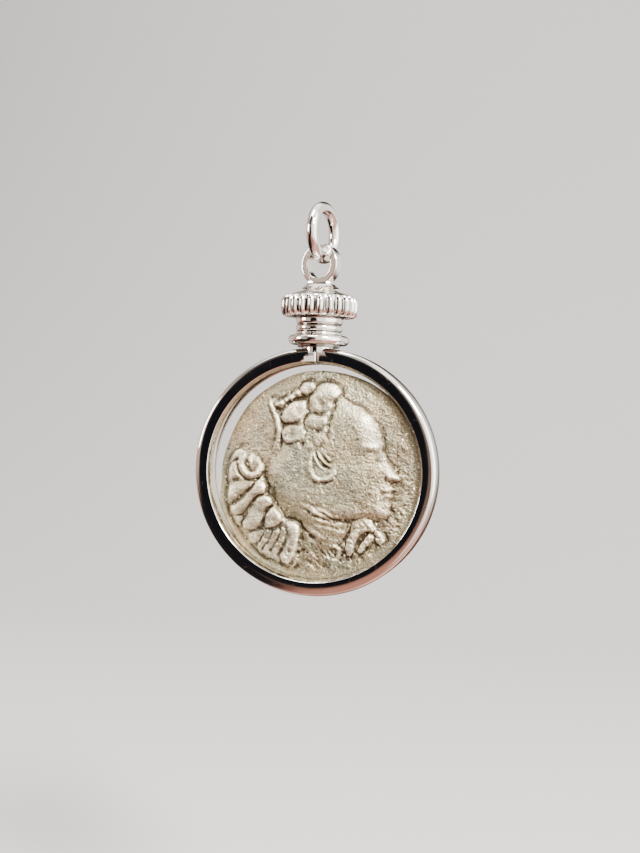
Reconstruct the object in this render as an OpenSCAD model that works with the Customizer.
// Coin pendant: a worn silver coin in a split bezel that a gadrooned screw cap holds shut.
// It hangs from a jump ring. The origin is where a chain bears inside the jump ring,
// +Z is up, the coin's obverse faces -Y and the wearer's chest is on the +Y side.

/* [Jump ring] */
// Thickness of the jump ring's round wire
ring_wire = 0.91; // [0.7:0.01:1.1]
// Clear width inside the jump ring
ring_bore = 3.1; // [2.9:0.05:5]
// Turn of the jump ring from the bezel's face, in degrees
ring_turn = 12.5; // [0:0.5:25]
// Clearance between the wire and the eyelet's hole
link_gap = 0.05; // [0.04:0.01:0.1]

/* [Eyelet] */
// Diameter of the hole that the jump ring passes through
eye_hole = 2.2; // [2:0.05:2.6]
// Width of the flat metal round the hole
eye_band = 0.57; // [0.45:0.01:0.7]
// Thickness of the eyelet, front to back
eye_depth = 0.9; // [0.7:0.05:1.3]
// Rounding of the eyelet's outer edges
eye_round = 0.15; // [0.1:0.01:0.3]
// Turn of the eyelet from the bezel's face, in degrees
eye_turn = 18; // [10:1:25]
// How far the wire lies to the right of the hole's middle
eye_shift = 0.1; // [0:0.01:0.25]
// Width of the stem under the eyelet
stem_w = 2; // [1.6:0.1:2.6]
// Spread of the stem's foot on each side, and the height at which it starts
stem_flare = 0.3; // [0.1:0.05:0.4]
// Height of the eyelet's centre over the collar
stem_h = 1.87; // [1.6:0.01:2.4]
// Diameter of the thin collar under the stem
collar_d = 2.9; // [2.7:0.1:3.6]
// Height of the collar
collar_h = 0.25; // [0.15:0.05:0.5]

/* [Screw cap] */
// How far the cap's seat lies to the left of the bezel's middle
seat_shift = 0.12; // [0:0.01:0.3]
// Diameter of the rim over its lobes
rim_d = 6.2; // [5.6:0.1:7.5]
// Height of the rim
rim_h = 1.6; // [1.2:0.05:2]
// Rounding of the lobes' upper and lower ends
rim_round = 0.5; // [0.3:0.05:0.55]
// Number of lobes round the rim
lobes = 24; // [16:1:30]
// Width of the groove between two lobes
lobe_groove = 0.26; // [0.16:0.02:0.34]
// Rise of the domed top over the rim
dome_h = 0.57; // [0.4:0.01:0.9]
// Diameter of the ribbed neck over its rings
neck_d = 3.72; // [3.6:0.02:4.4]
// Height of the neck
neck_h = 1.5; // [1.2:0.1:2.4]
// Depth of the two grooves that part the neck's rings
neck_groove = 0.14; // [0.06:0.02:0.2]
// Rounding of the rings' edges
neck_round = 0.1; // [0.06:0.02:0.12]
// Diameter of the flange at the foot of the neck
flange_d = 4.85; // [4.6:0.05:6]
// Height of the flange, which is round at its edge
flange_h = 0.75; // [0.6:0.05:1.2]
// Diameter of the narrow foot that seats on the bezel
foot_d = 3.4; // [3.2:0.1:4]
// Height of that foot
foot_h = 0.2; // [0.1:0.05:0.4]
// Clearance between the foot and the bezel's crown
seat_gap = 0.04; // [0.02:0.01:0.1]

/* [Stud] */
// Diameter of the split stud that the cap screws on
stud_d = 2.4; // [2:0.1:2.5]
// Height of the stud over the cap's seat
stud_h = 2.9; // [2:0.1:3.2]
// Clearance between the stud and the cap's bore, at its sides and tip
stud_gap = 0.06; // [0.04:0.01:0.1]
// Chamfer at the stud's tip
stud_chamfer = 0.25; // [0.1:0.05:0.4]
// Width of the seam that splits the bezel and its stud
seam_w = 0.08; // [0.04:0.01:0.2]

/* [Bezel] */
// Wall between the groove's floor and the bezel's outside
bezel_wall = 0.85; // [0.6:0.05:1.4]
// Thickness of each lip, front to back
lip_t = 0.62; // [0.5:0.02:1]
// How far each lip reaches in over the groove
lip_reach = 0.45; // [0.4:0.05:0.9]
// Width of the bevel on a lip's inner side
bevel_w = 0.2; // [0.1:0.02:0.3]
// Depth of that bevel
bevel_depth = 0.4; // [0.3:0.05:0.45]
// Rounding of the bezel's outer corners
corner_r = 0.45; // [0.15:0.05:0.5]
// Room between the coin's edge and the groove's floor when centred
groove_room = 0.25; // [0.15:0.05:0.4]
// Clearance between the coin's edge and each side of the groove
groove_gap = 0.08; // [0.06:0.01:0.15]

/* [Coin] */
// Largest diameter of the coin
coin_d = 17.5; // [15:0.1:20]
// Thickness of the coin at its edge
edge_t = 0.85; // [0.7:0.05:1.5]
// Thickness of the coin's field in the middle
field_t = 1.9; // [1.6:0.05:2.2]
// Height of the relief at its highest place
relief_h = 0.4; // [0.2:0.02:0.5]
// Clearance where the coin rests in the groove
rest_gap = 0.05; // [0.03:0.01:0.1]
// Direction in which the coin rests, in degrees from the right
rest_angle = -40; // [-90:5:-10]
// Turn of the coin in its groove, counterclockwise in degrees
coin_turn = 1.9; // [-5:0.1:5]

/* [Hidden] */
$fn = 96;
eps = 0.01;

// Jump ring: radius of its centre line, and the centre of its lowest wire, where the pendant hangs
ring_r = (ring_bore + ring_wire) / 2;
pivot = [0, 0, -ring_bore - ring_wire / 2];

// The wire slants and curves up towards the hole's two mouths, which sets how deep the hole hangs on it
wire_rise = ring_r - sqrt(pow(ring_r, 2) - pow(eye_depth / 2, 2));
wire_slant = eye_depth / 2 * tan(abs(eye_turn - ring_turn));
eye_drop = sqrt(pow((eye_hole - ring_wire) / 2 - link_gap, 2) - pow(eye_shift + wire_slant, 2)) - wire_rise;
eye_r = eye_hole / 2 + eye_band;

// Heights over the underside of the cap's foot
neck_z = foot_h + flange_h;
rim_z = neck_z + neck_h;
rim_top = rim_z + rim_h;
collar_z = rim_top + dome_h - collar_h / 2;
eye_z = collar_z + collar_h + stem_h;

// Middle of the foot's underside, on the cap's axis
seat = pivot - [eye_shift * cos(eye_turn), -eye_shift * sin(eye_turn), eye_drop + eye_z];

// Heights of the neck's rings as shares of the neck, from the lowest
NECK_RINGS = [0.18, 0.37, 0.45];

// Bezel radii, worked out from the coin, and the bezel's centre
groove_r = coin_d / 2 + groove_room;
bezel_r = groove_r + bezel_wall;
lip_r = groove_r - lip_reach;
groove_w = edge_t + 2 * groove_gap;
bezel_depth = groove_w + 2 * lip_t;
bezel_centre = seat + [seat_shift, 0, -seat_gap - bezel_r];

// The coin's shift from the bezel's centre as it rests in the groove
coin_shift = groove_room - rest_gap;

// Cells along each side of the square grid that is mapped on the coin's disc
coin_cells = 54;
// Share of the coin's radius at which the rounded, relief-free border starts
border_share = 0.93;
// Share of the coin's radius over which the relief fades before that border
fade_share = 0.05;
// Share of the edge's thickness that is left at the very edge
edge_share = 0.6;
// Shares of the coin's radius at which the plain back has its rings of points
BACK_SHARES = [1, (1 + border_share) / 2, border_share, 0.7, 0.4];

// Outline of the flan: angle in degrees, radius as a share of the coin's
FLAN = [[0, 0.99], [40, 0.965], [90, 0.935], [125, 0.905], [157, 0.885], [180, 0.905],
    [202, 0.965], [235, 1], [290, 0.99], [325, 1], [360, 0.99]];

// Outline of the head without its headdress, as shares of the coin's radius
HEAD = [[0.24, 0.62], [0.38, 0.54], [0.45, 0.44], [0.475, 0.35], [0.5, 0.29], [0.56, 0.19], [0.62, 0.1],
    [0.635, 0.05], [0.6, 0.02], [0.56, 0], [0.59, -0.04], [0.585, -0.075], [0.56, -0.09],
    [0.58, -0.12], [0.57, -0.155], [0.54, -0.185], [0.575, -0.24], [0.565, -0.3], [0.5, -0.345],
    [0.36, -0.37], [0.26, -0.42], [0.2, -0.56], [-0.2, -0.5], [-0.4, -0.3], [-0.46, 0],
    [-0.42, 0.25], [-0.2, 0.6], [0, 0.66]];

// Raised pads: x, z, half length and half width as shares of the coin's radius, tilt in degrees,
// top as a share of the relief's height
PADS = [
    // Cheek, brow and jaw
    [0.3, -0.02, 0.26, 0.2, 60, 0.82], [0.36, 0.4, 0.17, 0.1, 70, 0.86], [0.45, -0.24, 0.13, 0.08, 20, 0.8],
    // Locks over the brow
    [0.053, 0.69, 0.1, 0.085, 90, 0.9], [0.039, 0.555, 0.1, 0.085, 70, 0.95],
    [0.005, 0.43, 0.1, 0.085, 70, 0.95], [0.04, 0.31, 0.09, 0.085, 90, 0.9],
    [0.11, 0.775, 0.085, 0.05, 0, 0.65],
    // Flat locks behind them
    [-0.173, 0.518, 0.14, 0.105, 20, 0.82], [-0.187, 0.306, 0.135, 0.125, 80, 0.8],
    // Ridge behind the headdress, and the pellets along its top
    [-0.41, 0.559, 0.1, 0.028, -65, 0.6], [-0.354, 0.319, 0.16, 0.032, -87, 0.75],
    [-0.314, 0.607, 0.045, 0.04, 0, 0.55], [-0.248, 0.662, 0.045, 0.04, 0, 0.6],
    [-0.166, 0.706, 0.045, 0.04, 0, 0.6], [-0.071, 0.751, 0.07, 0.062, 0, 0.65],
    // Curl at the back of the neck
    [-0.667, 0.079, 0.115, 0.035, 88, 0.75], [-0.603, -0.055, 0.085, 0.035, -8, 0.75],
    [-0.526, 0.024, 0.08, 0.04, 75, 0.8],
    // Mane, from the back of the neck down and forward
    [-0.765, -0.024, 0.09, 0.06, 60, 0.65], [-0.745, -0.195, 0.09, 0.06, 25, 0.7],
    [-0.554, -0.167, 0.11, 0.055, 38, 0.92], [-0.695, -0.325, 0.09, 0.058, 45, 0.75],
    [-0.498, -0.311, 0.1, 0.07, 52, 0.95], [-0.603, -0.469, 0.09, 0.066, 55, 0.8],
    [-0.385, -0.449, 0.095, 0.072, 45, 0.95], [-0.392, -0.62, 0.09, 0.055, 50, 0.7],
    [-0.222, -0.531, 0.085, 0.062, 60, 0.9], [-0.305, -0.755, 0.11, 0.058, 50, 0.65],
    [-0.195, -0.665, 0.075, 0.05, 70, 0.7], [-0.088, -0.716, 0.09, 0.062, 80, 0.55],
    // Folds of the skin under the jaw
    [0.04, -0.421, 0.19, 0.03, -22, 0.8], [0.11, -0.5, 0.18, 0.028, -18, 0.65],
    [-0.03, -0.56, 0.14, 0.028, -25, 0.6],
    // Paws, knotted under the chin
    [0.532, -0.524, 0.11, 0.05, -35, 0.8], [0.455, -0.67, 0.11, 0.055, 48, 0.8],
    [0.38, -0.59, 0.08, 0.045, 30, 0.7], [0.61, -0.6, 0.07, 0.045, 50, 0.55],
    // Rim of the ear
    [-0.035, 0.06, 0.11, 0.035, 105, 1], [0.04, -0.085, 0.1, 0.035, -20, 1],
    [0.13, -0.02, 0.08, 0.035, 65, 0.95]];

// Hollows: x, z, half length, half width, tilt and depth, in the same units
HOLLOWS = [[0.06, 0.04, 0.09, 0.055, 110, 0.55], [0.4, 0.3, 0.09, 0.03, -10, 0.35]];

// Steepness of a pad's border: the nearer to 0, the flatter its top
pad_power = 0.35;
// Height of the head without its locks and features, and the width of its sloping border
head_top = 0.62;
head_slope = 0.1;

// Height of a pad that is flat in the middle and falls steeply at its border
function pad(x, z, p) = let(c = cos(p[4]), s = sin(p[4]), dx = x - p[0], dz = z - p[1],
    along = (dx * c + dz * s) / p[2], across = (dz * c - dx * s) / p[3],
    d = pow(along, 2) + pow(across, 2)) d >= 1 ? 0 : p[5] * pow(1 - d, pad_power);

// Distance from a point to the line from a to b
function to_line(p, a, b) = let(ab = b - a, t = min(1, max(0, (p - a) * ab / (ab * ab))))
    norm(p - a - t * ab);
function crossing(p, a, b) = (a[1] > p[1]) != (b[1] > p[1])
    && p[0] < a[0] + (b[0] - a[0]) * (p[1] - a[1]) / (b[1] - a[1]) ? 1 : 0;
function inside(p, loop) = let(n = len(loop))
    [for (i = [0:n - 1]) crossing(p, loop[i], loop[(i + 1) % n])] * [for (i = [0:n - 1]) 1] % 2 == 1;
function depth_in(p, loop) = let(n = len(loop))
    inside(p, loop) ? min([for (i = [0:n - 1]) to_line(p, loop[i], loop[(i + 1) % n])]) : 0;

// Relief at a place on the coin, as a share of its height
function head(x, z) = head_top * sqrt(min(1, depth_in([x, z], HEAD) / head_slope));
function relief(x, z) = max(head(x, z), max([for (p = PADS) pad(x, z, p)]))
    - max([for (p = HOLLOWS) pad(x, z, p)]);

// Radius of the flan at an angle, eased between the rows of FLAN
function ease(t) = (1 - cos(180 * t)) / 2;
function flan(angle) = let(i = max([for (k = [0:len(FLAN) - 2]) angle >= FLAN[k][0] ? k : 0]),
    a = FLAN[i], b = FLAN[i + 1]) coin_d / 2 * (a[1] + (b[1] - a[1]) * ease((angle - a[0]) / (b[0] - a[0])));

// The unit square's place s, t as a radius share and an angle on the disc
function disc(s, t) = max(abs(s), abs(t)) < eps ? [0, 0]
    : abs(s) > abs(t) ? [abs(s), (s > 0 ? 0 : 180) + 45 * t / s]
    : [abs(t), (t > 0 ? 90 : 270) - 45 * s / t];

// Half the coin's thickness at a radius share, without the relief
function half_t(share) = let(lens = 1 - pow(min(1, share / border_share), 3),
    end = max(0, (share - border_share) / (1 - border_share)))
    edge_t / 2 * (1 - (1 - edge_share) * pow(end, 2)) + (field_t - edge_t) / 2 * lens;
function relief_fade(share) = min(1, max(0, (border_share - share) / fade_share));

// A point of the coin's front or back, seen from the front: side is -1 or 1
function coin_point(s, t, side) = let(d = disc(s, t), angle = (d[1] + 360) % 360, r = d[0] * flan(angle),
    x = r * cos(angle), z = r * sin(angle), share = 2 / coin_d,
    up = side < 0 ? relief_h * relief_fade(d[0]) * relief(x * share, z * share) : 0)
    [x, side * (half_t(d[0]) + up), z];

module jump_ring() {
    color("gainsboro")
        translate([0, 0, -ring_bore / 2])
            rotate([0, 90, -ring_turn])
                rotate_extrude()
                    translate([ring_r, 0])
                        circle(d = ring_wire);
}

// Disc round the Z axis with a rounded edge
module rounded_disc(d, h, r) {
    rotate_extrude() {
        square([d / 2 - r, h]);
        translate([0, r])
            square([d / 2, h - 2 * r]);
        for (z = [r, h - r])
            translate([d / 2 - r, z])
                circle(r = r);
    }
}

module eyelet() {
    translate([0, 0, eye_z])
        rotate([90, 0, 0])
            translate([0, 0, -eye_depth / 2])
                rounded_disc(2 * eye_r, eye_depth, eye_round);
    foot = stem_w / 2 + stem_flare;
    flare_z = collar_z + collar_h + stem_flare;
    rotate([90, 0, 0])
        linear_extrude(eye_depth, center = true)
            polygon([[-foot, rim_top], [foot, rim_top], [foot, collar_z + collar_h],
                [stem_w / 2, flare_z], [stem_w / 2, eye_z], [-stem_w / 2, eye_z],
                [-stem_w / 2, flare_z], [-foot, collar_z + collar_h]]);
}

module lobed_rim() {
    difference() {
        translate([0, 0, rim_z])
            rounded_disc(rim_d, rim_h, rim_round);
        for (i = [0:lobes - 1])
            rotate([0, 0, 360 * i / lobes])
                translate([rim_d / 2, 0, rim_z - eps])
                    cylinder(d = lobe_groove, h = rim_h + 2 * eps);
    }
}

// Domed top of the cap: a slice of a sphere that meets the rim inside its lobes
module dome() {
    base_r = rim_d / 2 - rim_round;
    ball_r = (pow(base_r, 2) + pow(dome_h, 2)) / (2 * dome_h);
    intersection() {
        translate([0, 0, rim_top + dome_h - ball_r])
            sphere(r = ball_r);
        translate([0, 0, rim_top - rim_h / 2])
            cylinder(r = base_r, h = rim_h / 2 + dome_h);
    }
}

// Sum of the first n values of a list
function sum(list, n) = n == 0 ? 0 : list[n - 1] + sum(list, n - 1);

module neck() {
    translate([0, 0, neck_z - eps])
        cylinder(d = neck_d - 2 * neck_groove, h = neck_h + 2 * eps);
    for (i = [0:len(NECK_RINGS) - 1])
        translate([0, 0, neck_z + neck_h * sum(NECK_RINGS, i)])
            rounded_disc(neck_d, neck_h * NECK_RINGS[i], neck_round);
}

module screw_cap() {
    color("silver")
        translate(seat)
            difference() {
                union() {
                    cylinder(d = foot_d, h = foot_h + eps);
                    translate([0, 0, foot_h])
                        rounded_disc(flange_d, flange_h, flange_h / 2 - eps);
                    neck();
                    lobed_rim();
                    dome();
                    translate([0, 0, collar_z])
                        cylinder(d = collar_d, h = collar_h);
                    rotate([0, 0, -eye_turn])
                        eyelet();
                }
                translate([0, 0, -eps])
                    cylinder(d = stud_d + 2 * stud_gap, h = stud_h + stud_gap + eps);
                translate([0, 0, eye_z])
                    rotate([90, 0, -eye_turn])
                        cylinder(d = eye_hole, h = 2 * eye_depth, center = true);
            }
}

// Section of the bezel's rim, radius along X and depth along Y
module bezel_section() {
    flat_r = bezel_r - corner_r;
    front = bezel_depth / 2;
    polygon([[lip_r + bevel_w, -front], [flat_r, -front], [flat_r, front], [lip_r + bevel_w, front],
        [lip_r, front - bevel_depth], [lip_r, groove_w / 2], [groove_r, groove_w / 2],
        [groove_r, -groove_w / 2], [lip_r, -groove_w / 2], [lip_r, bevel_depth - front]]);
    translate([groove_r, corner_r - front])
        square([bezel_wall, bezel_depth - 2 * corner_r]);
    for (y = [corner_r - front, front - corner_r])
        translate([flat_r, y])
            circle(r = corner_r);
}

// Stud that rises from the bezel's wall on the cap's axis, chamfered at its tip
module stud() {
    root = bezel_wall / 2;
    translate([0, 0, -root])
        cylinder(d = stud_d, h = root + stud_h - stud_chamfer);
    translate([0, 0, stud_h - stud_chamfer])
        cylinder(d1 = stud_d, d2 = stud_d - 2 * stud_chamfer, h = stud_chamfer);
}

module bezel_ring() {
    rim_depth = bezel_r - lip_r;
    color("whitesmoke")
        difference() {
            union() {
                translate(bezel_centre)
                    rotate([90, 0, 0])
                        rotate_extrude()
                            bezel_section();
                translate(seat)
                    stud();
            }
            translate(seat - [seam_w / 2, bezel_depth, 2 * rim_depth])
                cube([seam_w, 2 * bezel_depth, 2 * rim_depth + stud_h + eps]);
        }
}

// Coin, as one closed mesh: a grid on the front, and bands of the same border round the edge and back
module coin() {
    n = coin_cells;
    row = n + 1;
    face = row * row;
    border = [for (i = [0:n - 1]) [i, 0], for (j = [0:n - 1]) [n, j],
        for (i = [0:n - 1]) [n - i, n], for (j = [0:n - 1]) [0, n - j]];
    m = len(border);
    bands = len(BACK_SHARES);
    front_points = [for (j = [0:n], i = [0:n]) coin_point(2 * i / n - 1, 2 * j / n - 1, -1)];
    back_points = [for (share = BACK_SHARES, b = border)
        coin_point(share * (2 * b[0] / n - 1), share * (2 * b[1] / n - 1), 1)];
    front = [for (j = [0:n - 1], i = [0:n - 1]) let(a = j * row + i) each
        [[a, a + row + 1, a + 1], [a, a + row, a + row + 1]]];
    loops = concat([[for (b = border) b[1] * row + b[0]]],
        [for (r = [0:bands - 1]) [for (k = [0:m - 1]) face + r * m + k]]);
    around = [for (r = [0:bands - 1], k = [0:m - 1])
        let(a = loops[r], b = loops[r + 1], next = (k + 1) % m) each
        [[a[k], a[next], b[next]], [a[k], b[next], b[k]]]];
    closing = [for (k = [0:m - 1]) [loops[bands][k], loops[bands][(k + 1) % m], face + bands * m]];
    color("tan")
        translate(bezel_centre + coin_shift * [cos(rest_angle), 0, sin(rest_angle)])
            rotate([0, -coin_turn, 0])
                polyhedron(points = concat(front_points, back_points, [coin_point(0, 0, 1)]),
                    faces = concat(front, around, closing));
}

jump_ring();
screw_cap();
bezel_ring();
coin();
